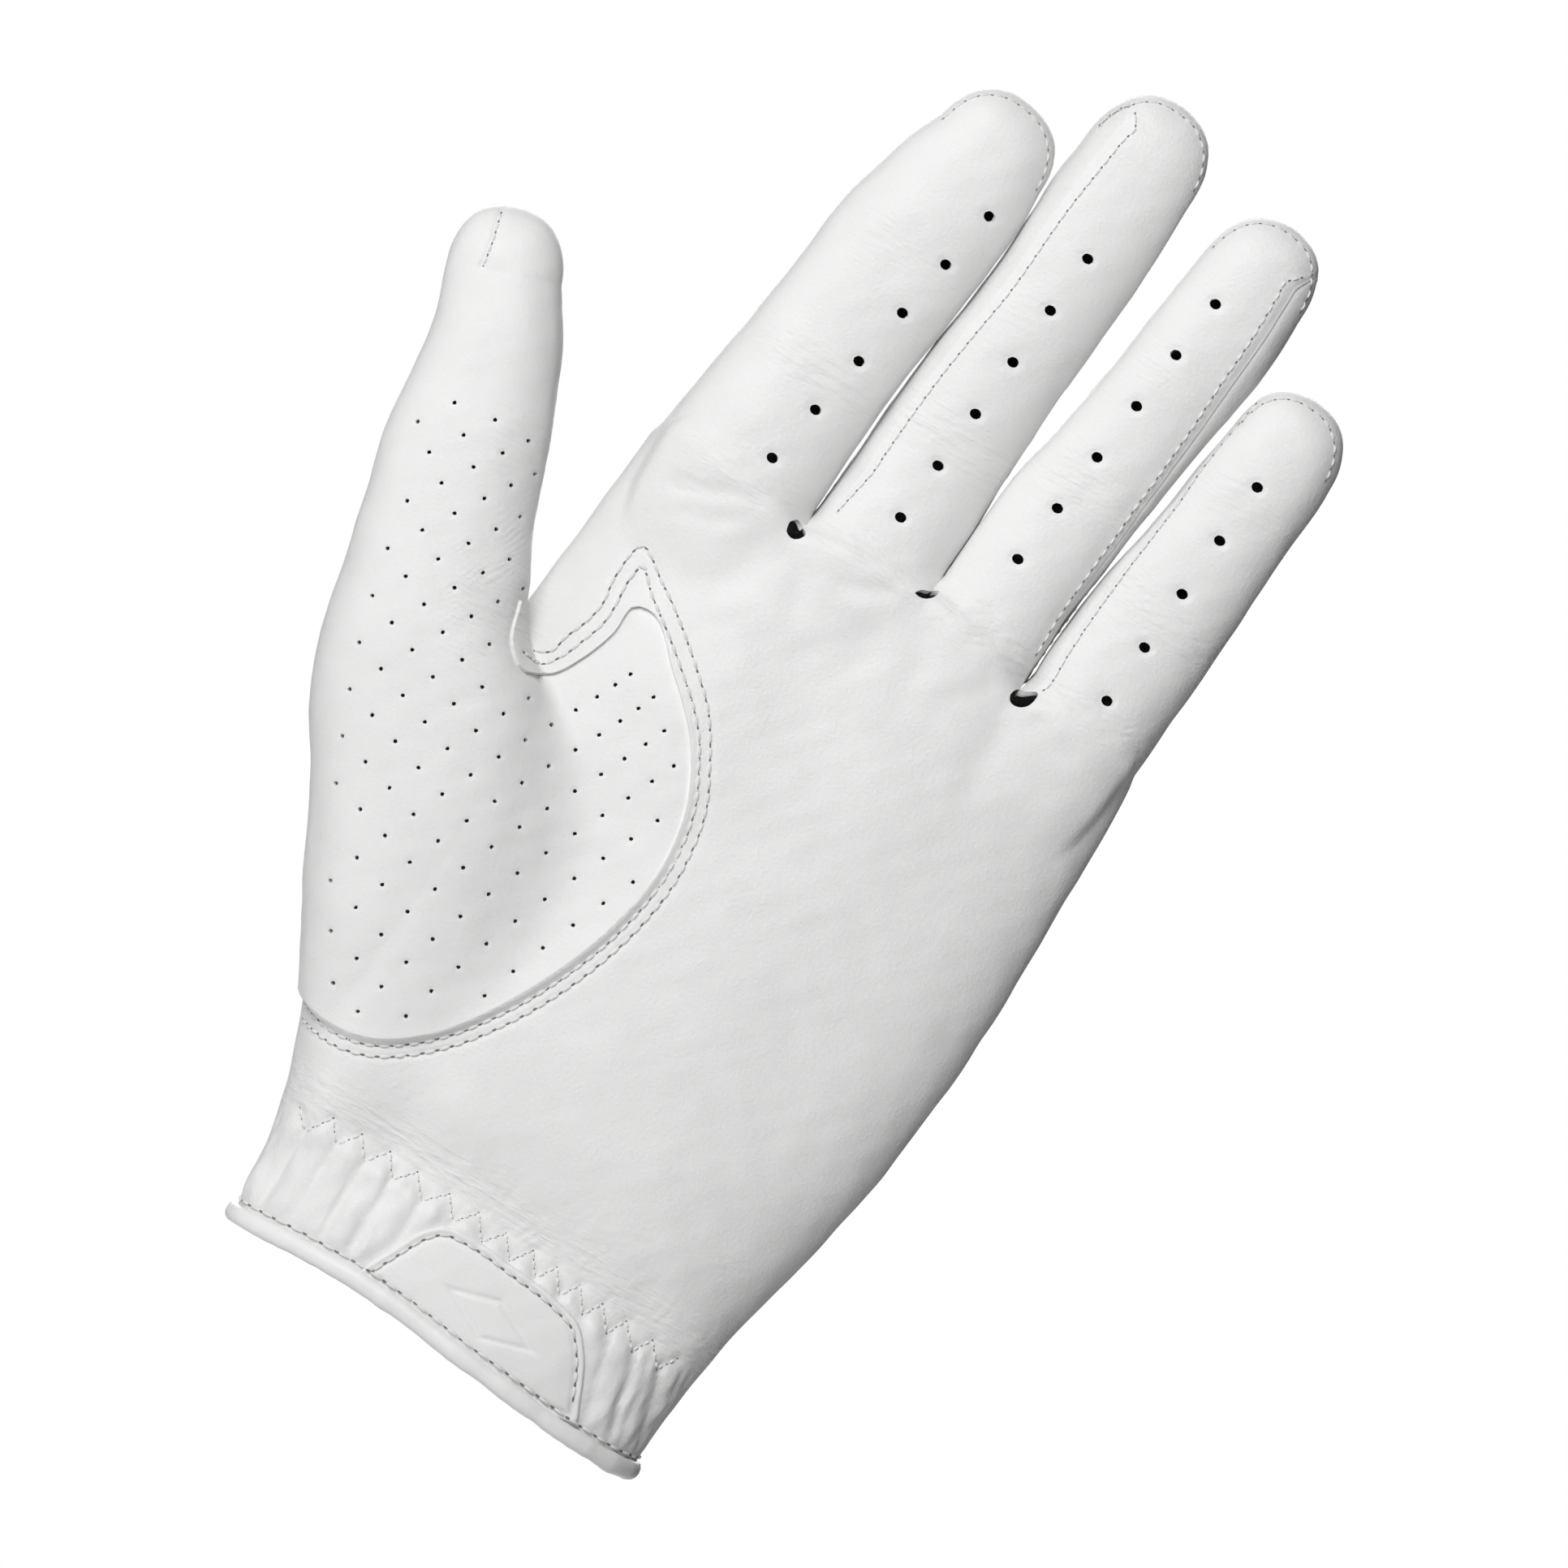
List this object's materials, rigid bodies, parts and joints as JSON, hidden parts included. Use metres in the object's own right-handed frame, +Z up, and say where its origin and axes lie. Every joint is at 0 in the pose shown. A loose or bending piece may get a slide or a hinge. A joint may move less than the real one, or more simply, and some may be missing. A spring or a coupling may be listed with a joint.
{
  "type": "golf glove",
  "caption": "Left-hand leather golf glove, filled out as worn, with vented finger stalls, a perforated thumb panel, an elastic wrist and a hook-and-loop tab on the back.",
  "frame": {"origin": "middle of the hand opening at the cuff, on the middle finger's line", "axes": "+Z up the fingers, -Y the way the palm faces, +X towards the little finger"},
  "size_m": [0.1329, 0.0424, 0.2231],
  "materials": {
    "leather": "smooth white leather, satin",
    "perforated_leather": "smooth white leather with pin holes",
    "fourchette": "soft white leather, matt",
    "binding": "rolled white leather, satin",
    "tab_lining": "white backing cloth, matt",
    "hook_and_loop": "white pile, matt",
    "elastic": "woven white elastic",
    "label": "plain woven satin",
    "thread": "white sewing thread"
  },
  "bodies": {
    "hand": {"palm_leather": "leather", "thumb_panel": "perforated_leather", "back_leather": "leather", "wrist_elastic": "elastic", "knuckle_elastic": "elastic", "size_label": "label", "heel_patch": "leather", "heel_patch_thread": "thread", "cuff_binding": "binding", "slit_binding": "binding", "thumb_seam_thread_inner": "thread", "thumb_seam_thread_outer": "thread", "wrist_zigzag_thread": "thread", "loop_patch": "hook_and_loop"},
    "index_base": {"index_base_front": "leather", "index_base_back": "leather", "index_base_fourchette_right": "fourchette"},
    "index_tip": {"index_tip_front": "leather", "index_tip_back": "leather", "index_tip_fourchette_right": "fourchette"},
    "middle_base": {"middle_base_front": "leather", "middle_base_back": "leather", "middle_base_fourchette_left": "fourchette", "middle_base_fourchette_right": "fourchette"},
    "middle_tip": {"middle_tip_front": "leather", "middle_tip_back": "leather", "middle_tip_fourchette_left": "fourchette", "middle_tip_fourchette_right": "fourchette"},
    "ring_base": {"ring_base_front": "leather", "ring_base_back": "leather", "ring_base_fourchette_left": "fourchette", "ring_base_fourchette_right": "fourchette"},
    "ring_tip": {"ring_tip_front": "leather", "ring_tip_back": "leather", "ring_tip_fourchette_left": "fourchette", "ring_tip_fourchette_right": "fourchette"},
    "little_base": {"little_base_front": "leather", "little_base_back": "leather", "little_base_fourchette_left": "fourchette"},
    "little_tip": {"little_tip_front": "leather", "little_tip_back": "leather", "little_tip_fourchette_left": "fourchette"},
    "thumb": {"thumb_front": "perforated_leather", "thumb_back": "leather"},
    "tab": {"tab_leather": "leather", "tab_lining": "tab_lining", "tab_hook_patch": "hook_and_loop", "tab_thread": "thread"}
  },
  "joints": [
    {"name": "index_knuckle", "type": "hinge", "parent": "hand", "child": "index_base", "pos_m": [-0.0275, -0.00905, 0.1365], "axis": [0.989, 0, -0.1478], "range_deg": [0, 80]},
    {"name": "index_middle_joint", "type": "hinge", "parent": "index_base", "child": "index_tip", "pos_m": [-0.02447, -0.00905, 0.15677], "axis": [0.989, 0, -0.1478], "range_deg": [0, 85]},
    {"name": "middle_knuckle", "type": "hinge", "parent": "hand", "child": "middle_base", "pos_m": [-0.0024, -0.00915, 0.135], "axis": [0.9969, 0, -0.0785], "range_deg": [0, 80]},
    {"name": "middle_middle_joint", "type": "hinge", "parent": "middle_base", "child": "middle_tip", "pos_m": [-0.00055, -0.00915, 0.15853], "axis": [0.9969, 0, -0.0785], "range_deg": [0, 85]},
    {"name": "ring_knuckle", "type": "hinge", "parent": "hand", "child": "ring_base", "pos_m": [0.0178, -0.00895, 0.1345], "axis": [0.9914, 0, -0.1305], "range_deg": [0, 80]},
    {"name": "ring_middle_joint", "type": "hinge", "parent": "ring_base", "child": "ring_tip", "pos_m": [0.02132, -0.00895, 0.16127], "axis": [0.9914, 0, -0.1305], "range_deg": [0, 85]},
    {"name": "little_knuckle", "type": "hinge", "parent": "hand", "child": "little_base", "pos_m": [0.0383, -0.00855, 0.131], "axis": [0.9952, 0, -0.0976], "range_deg": [0, 80]},
    {"name": "little_middle_joint", "type": "hinge", "parent": "little_base", "child": "little_tip", "pos_m": [0.04017, -0.00855, 0.15011], "axis": [0.9952, 0, -0.0976], "range_deg": [0, 85]},
    {"name": "thumb_joint", "type": "hinge", "parent": "hand", "child": "thumb", "pos_m": [-0.058, -0.0202, 0.1], "axis": [0.9511, 0, 0.309], "range_deg": [0, 40]},
    {"name": "tab_hinge", "type": "hinge", "parent": "hand", "child": "tab", "pos_m": [0.0162, 0.0161, 0.024], "axis": [0, 0, -1], "range_deg": [0, 100]}
  ]
}
